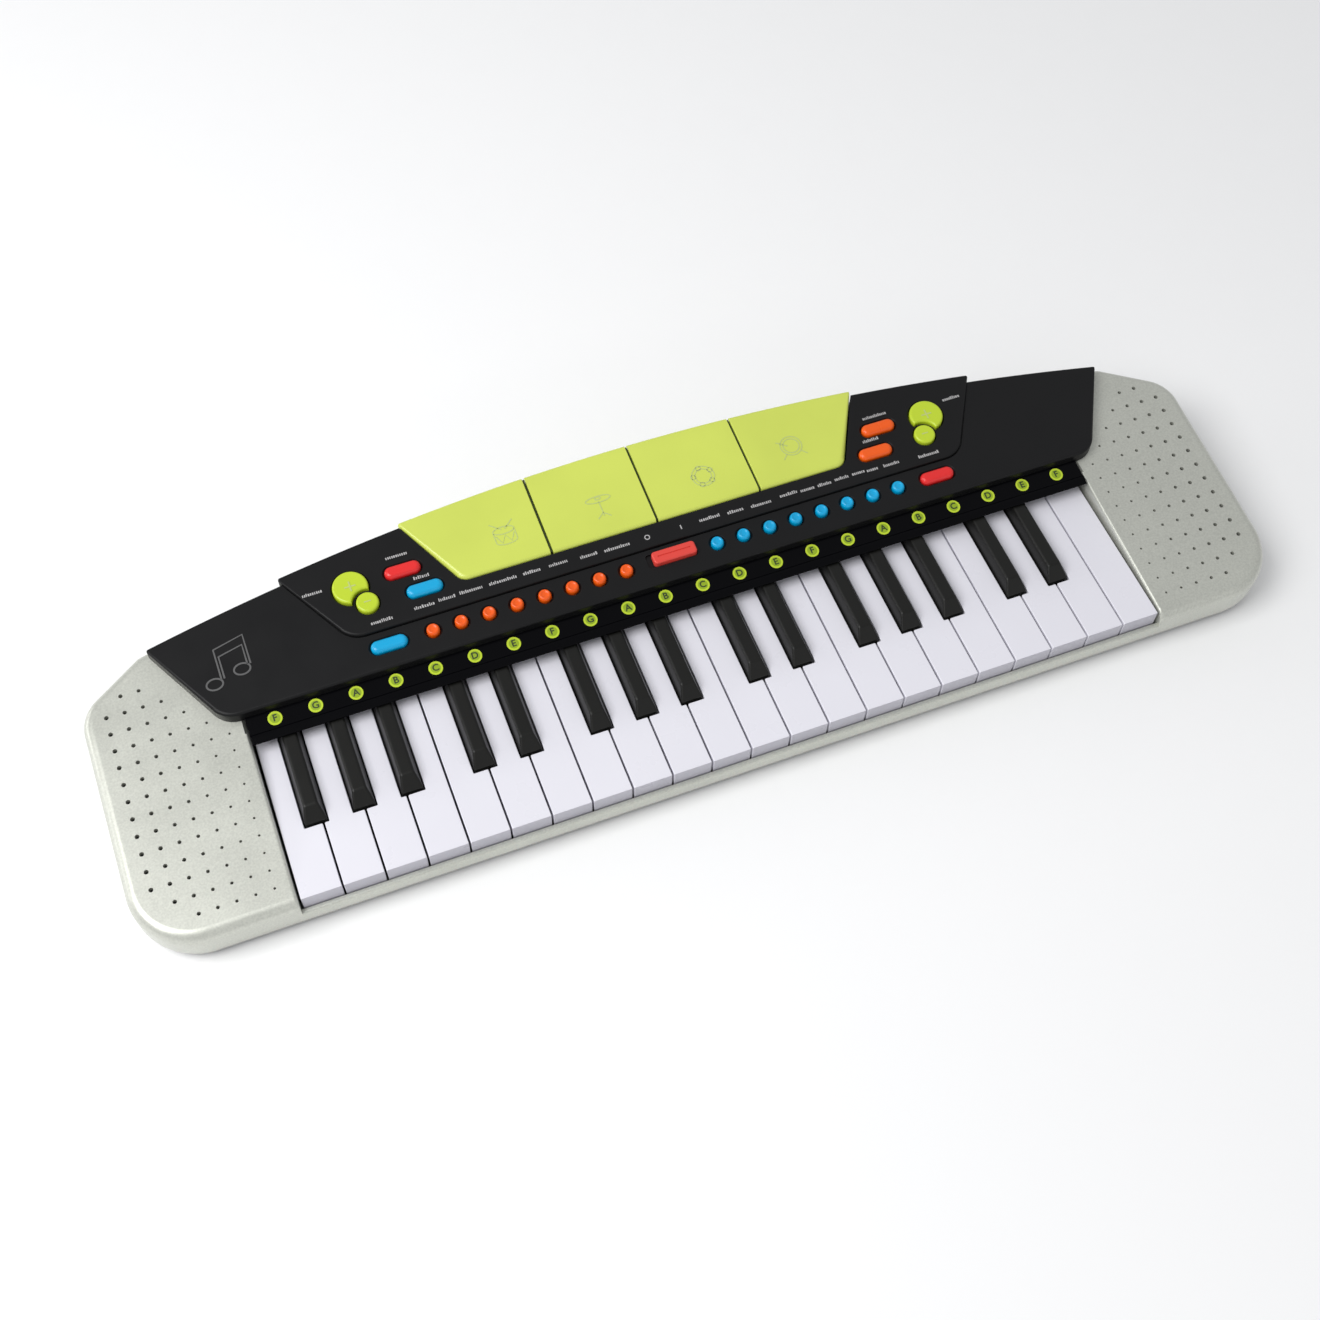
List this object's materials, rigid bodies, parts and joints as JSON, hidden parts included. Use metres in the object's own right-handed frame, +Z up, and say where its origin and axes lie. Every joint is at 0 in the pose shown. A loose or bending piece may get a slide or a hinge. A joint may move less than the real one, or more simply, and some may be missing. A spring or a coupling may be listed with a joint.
{
  "type": "toy electronic keyboard",
  "caption": "Toy electronic keyboard: sprung piano keys, lime drum pads, coloured push buttons, rockers and a power slider in a silver case with perforated ends.",
  "frame": {"origin": "middle of the underside, on the surface that the keyboard stands on", "axes": "+X along the keys to the right as the player sees them, +Y away from the player to the back, +Z up"},
  "size_m": [0.5394, 0.1656, 0.0449],
  "materials": {
    "casing_silver": "fine silver paint on moulded plastic, satin",
    "casing_base": "moulded plastic, fine texture",
    "panel_black": "satin black moulded plastic",
    "key_white": "smooth white moulded plastic",
    "key_black": "smooth black moulded plastic",
    "lime_plastic": "soft-gloss lime green plastic",
    "button_orange": "soft-gloss orange plastic",
    "button_blue": "soft-gloss light blue plastic",
    "button_red": "soft-gloss red plastic",
    "circuit_green": "printed circuit board",
    "contact_rubber": "soft grey rubber",
    "speaker_paper": "black paper cone in a black frame",
    "foot_rubber": "black rubber",
    "screw_steel": "zinc-plated steel",
    "print_white": "printed marks"
  },
  "bodies": {
    "casing": {"top_case": "casing_silver", "bottom_case": "casing_base", "control_panel": "panel_black", "battery_door": "casing_base", "circuit_board": "circuit_green", "key_contact_strip": "contact_rubber", "speaker_left": "speaker_paper", "speaker_right": "speaker_paper"},
    "white_key_01": {"white_key_01": "key_white"},
    "white_key_02": {"white_key_02": "key_white"},
    "white_key_03": {"white_key_03": "key_white"},
    "white_key_04": {"white_key_04": "key_white"},
    "white_key_05": {"white_key_05": "key_white"},
    "white_key_06": {"white_key_06": "key_white"},
    "white_key_07": {"white_key_07": "key_white"},
    "white_key_08": {"white_key_08": "key_white"},
    "white_key_09": {"white_key_09": "key_white"},
    "white_key_10": {"white_key_10": "key_white"},
    "white_key_11": {"white_key_11": "key_white"},
    "white_key_12": {"white_key_12": "key_white"},
    "white_key_13": {"white_key_13": "key_white"},
    "white_key_14": {"white_key_14": "key_white"},
    "white_key_15": {"white_key_15": "key_white"},
    "white_key_16": {"white_key_16": "key_white"},
    "white_key_17": {"white_key_17": "key_white"},
    "white_key_18": {"white_key_18": "key_white"},
    "white_key_19": {"white_key_19": "key_white"},
    "white_key_20": {"white_key_20": "key_white"},
    "white_key_21": {"white_key_21": "key_white"},
    "white_key_22": {"white_key_22": "key_white"},
    "black_key_01": {"black_key_01": "key_black"},
    "black_key_02": {"black_key_02": "key_black"},
    "black_key_03": {"black_key_03": "key_black"},
    "black_key_04": {"black_key_04": "key_black"},
    "black_key_05": {"black_key_05": "key_black"},
    "black_key_06": {"black_key_06": "key_black"},
    "black_key_07": {"black_key_07": "key_black"},
    "black_key_08": {"black_key_08": "key_black"},
    "black_key_09": {"black_key_09": "key_black"},
    "black_key_10": {"black_key_10": "key_black"},
    "black_key_11": {"black_key_11": "key_black"},
    "black_key_12": {"black_key_12": "key_black"},
    "black_key_13": {"black_key_13": "key_black"},
    "black_key_14": {"black_key_14": "key_black"},
    "black_key_15": {"black_key_15": "key_black"},
    "drum_pad_1": {"drum_pad_1": "lime_plastic"},
    "drum_pad_2": {"drum_pad_2": "lime_plastic"},
    "drum_pad_3": {"drum_pad_3": "lime_plastic"},
    "drum_pad_4": {"drum_pad_4": "lime_plastic"},
    "voice_buttons": {"voice_buttons": "button_orange"},
    "beat_buttons": {"beat_buttons": "button_blue"},
    "record_button": {"record_button": "button_red"},
    "play_button": {"play_button": "button_blue"},
    "chord_button": {"chord_button": "button_blue"},
    "rhythm_button": {"rhythm_button": "button_orange"},
    "demo_button": {"demo_button": "button_orange"},
    "stop_button": {"stop_button": "button_red"},
    "volume_rocker": {"volume_rocker": "lime_plastic"},
    "tempo_rocker": {"tempo_rocker": "lime_plastic"},
    "power_slider": {"power_slider": "button_red"}
  },
  "joints": [
    {"name": "white_key_01_press", "type": "hinge", "parent": "casing", "child": "white_key_01", "pos_m": [-0.1932, 0.0202, 0.018], "axis": [1, 0, 0], "range_deg": [0, 2.6], "stiffness_Nm_per_rad": 0.3, "springref_deg": -5.73},
    {"name": "white_key_02_press", "type": "hinge", "parent": "casing", "child": "white_key_02", "pos_m": [-0.1748, 0.0202, 0.018], "axis": [1, 0, 0], "range_deg": [0, 2.6], "stiffness_Nm_per_rad": 0.3, "springref_deg": -5.73},
    {"name": "white_key_03_press", "type": "hinge", "parent": "casing", "child": "white_key_03", "pos_m": [-0.1564, 0.0202, 0.018], "axis": [1, 0, 0], "range_deg": [0, 2.6], "stiffness_Nm_per_rad": 0.3, "springref_deg": -5.73},
    {"name": "white_key_04_press", "type": "hinge", "parent": "casing", "child": "white_key_04", "pos_m": [-0.138, 0.0202, 0.018], "axis": [1, 0, 0], "range_deg": [0, 2.6], "stiffness_Nm_per_rad": 0.3, "springref_deg": -5.73},
    {"name": "white_key_05_press", "type": "hinge", "parent": "casing", "child": "white_key_05", "pos_m": [-0.1196, 0.0202, 0.018], "axis": [1, 0, 0], "range_deg": [0, 2.6], "stiffness_Nm_per_rad": 0.3, "springref_deg": -5.73},
    {"name": "white_key_06_press", "type": "hinge", "parent": "casing", "child": "white_key_06", "pos_m": [-0.1012, 0.0202, 0.018], "axis": [1, 0, 0], "range_deg": [0, 2.6], "stiffness_Nm_per_rad": 0.3, "springref_deg": -5.73},
    {"name": "white_key_07_press", "type": "hinge", "parent": "casing", "child": "white_key_07", "pos_m": [-0.0828, 0.0202, 0.018], "axis": [1, 0, 0], "range_deg": [0, 2.6], "stiffness_Nm_per_rad": 0.3, "springref_deg": -5.73},
    {"name": "white_key_08_press", "type": "hinge", "parent": "casing", "child": "white_key_08", "pos_m": [-0.0644, 0.0202, 0.018], "axis": [1, 0, 0], "range_deg": [0, 2.6], "stiffness_Nm_per_rad": 0.3, "springref_deg": -5.73},
    {"name": "white_key_09_press", "type": "hinge", "parent": "casing", "child": "white_key_09", "pos_m": [-0.046, 0.0202, 0.018], "axis": [1, 0, 0], "range_deg": [0, 2.6], "stiffness_Nm_per_rad": 0.3, "springref_deg": -5.73},
    {"name": "white_key_10_press", "type": "hinge", "parent": "casing", "child": "white_key_10", "pos_m": [-0.0276, 0.0202, 0.018], "axis": [1, 0, 0], "range_deg": [0, 2.6], "stiffness_Nm_per_rad": 0.3, "springref_deg": -5.73},
    {"name": "white_key_11_press", "type": "hinge", "parent": "casing", "child": "white_key_11", "pos_m": [-0.0092, 0.0202, 0.018], "axis": [1, 0, 0], "range_deg": [0, 2.6], "stiffness_Nm_per_rad": 0.3, "springref_deg": -5.73},
    {"name": "white_key_12_press", "type": "hinge", "parent": "casing", "child": "white_key_12", "pos_m": [0.0092, 0.0202, 0.018], "axis": [1, 0, 0], "range_deg": [0, 2.6], "stiffness_Nm_per_rad": 0.3, "springref_deg": -5.73},
    {"name": "white_key_13_press", "type": "hinge", "parent": "casing", "child": "white_key_13", "pos_m": [0.0276, 0.0202, 0.018], "axis": [1, 0, 0], "range_deg": [0, 2.6], "stiffness_Nm_per_rad": 0.3, "springref_deg": -5.73},
    {"name": "white_key_14_press", "type": "hinge", "parent": "casing", "child": "white_key_14", "pos_m": [0.046, 0.0202, 0.018], "axis": [1, 0, 0], "range_deg": [0, 2.6], "stiffness_Nm_per_rad": 0.3, "springref_deg": -5.73},
    {"name": "white_key_15_press", "type": "hinge", "parent": "casing", "child": "white_key_15", "pos_m": [0.0644, 0.0202, 0.018], "axis": [1, 0, 0], "range_deg": [0, 2.6], "stiffness_Nm_per_rad": 0.3, "springref_deg": -5.73},
    {"name": "white_key_16_press", "type": "hinge", "parent": "casing", "child": "white_key_16", "pos_m": [0.0828, 0.0202, 0.018], "axis": [1, 0, 0], "range_deg": [0, 2.6], "stiffness_Nm_per_rad": 0.3, "springref_deg": -5.73},
    {"name": "white_key_17_press", "type": "hinge", "parent": "casing", "child": "white_key_17", "pos_m": [0.1012, 0.0202, 0.018], "axis": [1, 0, 0], "range_deg": [0, 2.6], "stiffness_Nm_per_rad": 0.3, "springref_deg": -5.73},
    {"name": "white_key_18_press", "type": "hinge", "parent": "casing", "child": "white_key_18", "pos_m": [0.1196, 0.0202, 0.018], "axis": [1, 0, 0], "range_deg": [0, 2.6], "stiffness_Nm_per_rad": 0.3, "springref_deg": -5.73},
    {"name": "white_key_19_press", "type": "hinge", "parent": "casing", "child": "white_key_19", "pos_m": [0.138, 0.0202, 0.018], "axis": [1, 0, 0], "range_deg": [0, 2.6], "stiffness_Nm_per_rad": 0.3, "springref_deg": -5.73},
    {"name": "white_key_20_press", "type": "hinge", "parent": "casing", "child": "white_key_20", "pos_m": [0.1564, 0.0202, 0.018], "axis": [1, 0, 0], "range_deg": [0, 2.6], "stiffness_Nm_per_rad": 0.3, "springref_deg": -5.73},
    {"name": "white_key_21_press", "type": "hinge", "parent": "casing", "child": "white_key_21", "pos_m": [0.1748, 0.0202, 0.018], "axis": [1, 0, 0], "range_deg": [0, 2.6], "stiffness_Nm_per_rad": 0.3, "springref_deg": -5.73},
    {"name": "white_key_22_press", "type": "hinge", "parent": "casing", "child": "white_key_22", "pos_m": [0.1932, 0.0202, 0.018], "axis": [1, 0, 0], "range_deg": [0, 2.6], "stiffness_Nm_per_rad": 0.3, "springref_deg": -5.73},
    {"name": "black_key_01_press", "type": "hinge", "parent": "casing", "child": "black_key_01", "pos_m": [-0.18685, 0.0202, 0.018], "axis": [1, 0, 0], "range_deg": [0, 2.6], "stiffness_Nm_per_rad": 0.3, "springref_deg": -5.73},
    {"name": "black_key_02_press", "type": "hinge", "parent": "casing", "child": "black_key_02", "pos_m": [-0.1656, 0.0202, 0.018], "axis": [1, 0, 0], "range_deg": [0, 2.6], "stiffness_Nm_per_rad": 0.3, "springref_deg": -5.73},
    {"name": "black_key_03_press", "type": "hinge", "parent": "casing", "child": "black_key_03", "pos_m": [-0.14435, 0.0202, 0.018], "axis": [1, 0, 0], "range_deg": [0, 2.6], "stiffness_Nm_per_rad": 0.3, "springref_deg": -5.73},
    {"name": "black_key_04_press", "type": "hinge", "parent": "casing", "child": "black_key_04", "pos_m": [-0.11187, 0.0202, 0.018], "axis": [1, 0, 0], "range_deg": [0, 2.6], "stiffness_Nm_per_rad": 0.3, "springref_deg": -5.73},
    {"name": "black_key_05_press", "type": "hinge", "parent": "casing", "child": "black_key_05", "pos_m": [-0.09053, 0.0202, 0.018], "axis": [1, 0, 0], "range_deg": [0, 2.6], "stiffness_Nm_per_rad": 0.3, "springref_deg": -5.73},
    {"name": "black_key_06_press", "type": "hinge", "parent": "casing", "child": "black_key_06", "pos_m": [-0.05805, 0.0202, 0.018], "axis": [1, 0, 0], "range_deg": [0, 2.6], "stiffness_Nm_per_rad": 0.3, "springref_deg": -5.73},
    {"name": "black_key_07_press", "type": "hinge", "parent": "casing", "child": "black_key_07", "pos_m": [-0.0368, 0.0202, 0.018], "axis": [1, 0, 0], "range_deg": [0, 2.6], "stiffness_Nm_per_rad": 0.3, "springref_deg": -5.73},
    {"name": "black_key_08_press", "type": "hinge", "parent": "casing", "child": "black_key_08", "pos_m": [-0.01555, 0.0202, 0.018], "axis": [1, 0, 0], "range_deg": [0, 2.6], "stiffness_Nm_per_rad": 0.3, "springref_deg": -5.73},
    {"name": "black_key_09_press", "type": "hinge", "parent": "casing", "child": "black_key_09", "pos_m": [0.01693, 0.0202, 0.018], "axis": [1, 0, 0], "range_deg": [0, 2.6], "stiffness_Nm_per_rad": 0.3, "springref_deg": -5.73},
    {"name": "black_key_10_press", "type": "hinge", "parent": "casing", "child": "black_key_10", "pos_m": [0.03827, 0.0202, 0.018], "axis": [1, 0, 0], "range_deg": [0, 2.6], "stiffness_Nm_per_rad": 0.3, "springref_deg": -5.73},
    {"name": "black_key_11_press", "type": "hinge", "parent": "casing", "child": "black_key_11", "pos_m": [0.07075, 0.0202, 0.018], "axis": [1, 0, 0], "range_deg": [0, 2.6], "stiffness_Nm_per_rad": 0.3, "springref_deg": -5.73},
    {"name": "black_key_12_press", "type": "hinge", "parent": "casing", "child": "black_key_12", "pos_m": [0.092, 0.0202, 0.018], "axis": [1, 0, 0], "range_deg": [0, 2.6], "stiffness_Nm_per_rad": 0.3, "springref_deg": -5.73},
    {"name": "black_key_13_press", "type": "hinge", "parent": "casing", "child": "black_key_13", "pos_m": [0.11325, 0.0202, 0.018], "axis": [1, 0, 0], "range_deg": [0, 2.6], "stiffness_Nm_per_rad": 0.3, "springref_deg": -5.73},
    {"name": "black_key_14_press", "type": "hinge", "parent": "casing", "child": "black_key_14", "pos_m": [0.14573, 0.0202, 0.018], "axis": [1, 0, 0], "range_deg": [0, 2.6], "stiffness_Nm_per_rad": 0.3, "springref_deg": -5.73},
    {"name": "black_key_15_press", "type": "hinge", "parent": "casing", "child": "black_key_15", "pos_m": [0.16707, 0.0202, 0.018], "axis": [1, 0, 0], "range_deg": [0, 2.6], "stiffness_Nm_per_rad": 0.3, "springref_deg": -5.73},
    {"name": "drum_pad_1_press", "type": "hinge", "parent": "casing", "child": "drum_pad_1", "pos_m": [0, 0.07433, 0.03759], "axis": [1, 0, 0], "range_deg": [0, 1.8], "stiffness_Nm_per_rad": 0.4, "springref_deg": -5.73},
    {"name": "drum_pad_2_press", "type": "hinge", "parent": "casing", "child": "drum_pad_2", "pos_m": [0, 0.07433, 0.03759], "axis": [1, 0, 0], "range_deg": [0, 1.8], "stiffness_Nm_per_rad": 0.4, "springref_deg": -5.73},
    {"name": "drum_pad_3_press", "type": "hinge", "parent": "casing", "child": "drum_pad_3", "pos_m": [0, 0.07433, 0.03759], "axis": [1, 0, 0], "range_deg": [0, 1.8], "stiffness_Nm_per_rad": 0.4, "springref_deg": -5.73},
    {"name": "drum_pad_4_press", "type": "hinge", "parent": "casing", "child": "drum_pad_4", "pos_m": [0, 0.07433, 0.03759], "axis": [1, 0, 0], "range_deg": [0, 1.8], "stiffness_Nm_per_rad": 0.4, "springref_deg": -5.73},
    {"name": "voice_buttons_press", "type": "slide", "parent": "casing", "child": "voice_buttons", "axis": [0, 0, -1], "range_m": [0, 0.0012], "stiffness_N_per_m": 400, "springref_m": -0.0015},
    {"name": "beat_buttons_press", "type": "slide", "parent": "casing", "child": "beat_buttons", "axis": [0, 0, -1], "range_m": [0, 0.0012], "stiffness_N_per_m": 400, "springref_m": -0.0015},
    {"name": "record_button_press", "type": "slide", "parent": "casing", "child": "record_button", "axis": [0, 0, -1], "range_m": [0, 0.0012], "stiffness_N_per_m": 400, "springref_m": -0.0015},
    {"name": "play_button_press", "type": "slide", "parent": "casing", "child": "play_button", "axis": [0, 0, -1], "range_m": [0, 0.0012], "stiffness_N_per_m": 400, "springref_m": -0.0015},
    {"name": "chord_button_press", "type": "slide", "parent": "casing", "child": "chord_button", "axis": [0, 0, -1], "range_m": [0, 0.0012], "stiffness_N_per_m": 400, "springref_m": -0.0015},
    {"name": "rhythm_button_press", "type": "slide", "parent": "casing", "child": "rhythm_button", "axis": [0, 0, -1], "range_m": [0, 0.0012], "stiffness_N_per_m": 400, "springref_m": -0.0015},
    {"name": "demo_button_press", "type": "slide", "parent": "casing", "child": "demo_button", "axis": [0, 0, -1], "range_m": [0, 0.0012], "stiffness_N_per_m": 400, "springref_m": -0.0015},
    {"name": "stop_button_press", "type": "slide", "parent": "casing", "child": "stop_button", "axis": [0, 0, -1], "range_m": [0, 0.0012], "stiffness_N_per_m": 400, "springref_m": -0.0015},
    {"name": "volume_rocker_tip", "type": "hinge", "parent": "casing", "child": "volume_rocker", "pos_m": [-0.1397, 0.04405, 0.03583], "axis": [0.8813, 0.4725, 0], "range_deg": [-1.8, 1.8], "stiffness_Nm_per_rad": 0.05},
    {"name": "tempo_rocker_tip", "type": "hinge", "parent": "casing", "child": "tempo_rocker", "pos_m": [0.1397, 0.04405, 0.03583], "axis": [0.8813, -0.4725, 0], "range_deg": [-1.8, 1.8], "stiffness_Nm_per_rad": 0.05},
    {"name": "power_slider_switch", "type": "slide", "parent": "casing", "child": "power_slider", "axis": [-1, 0, 0], "range_m": [0, 0.0024]}
  ]
}
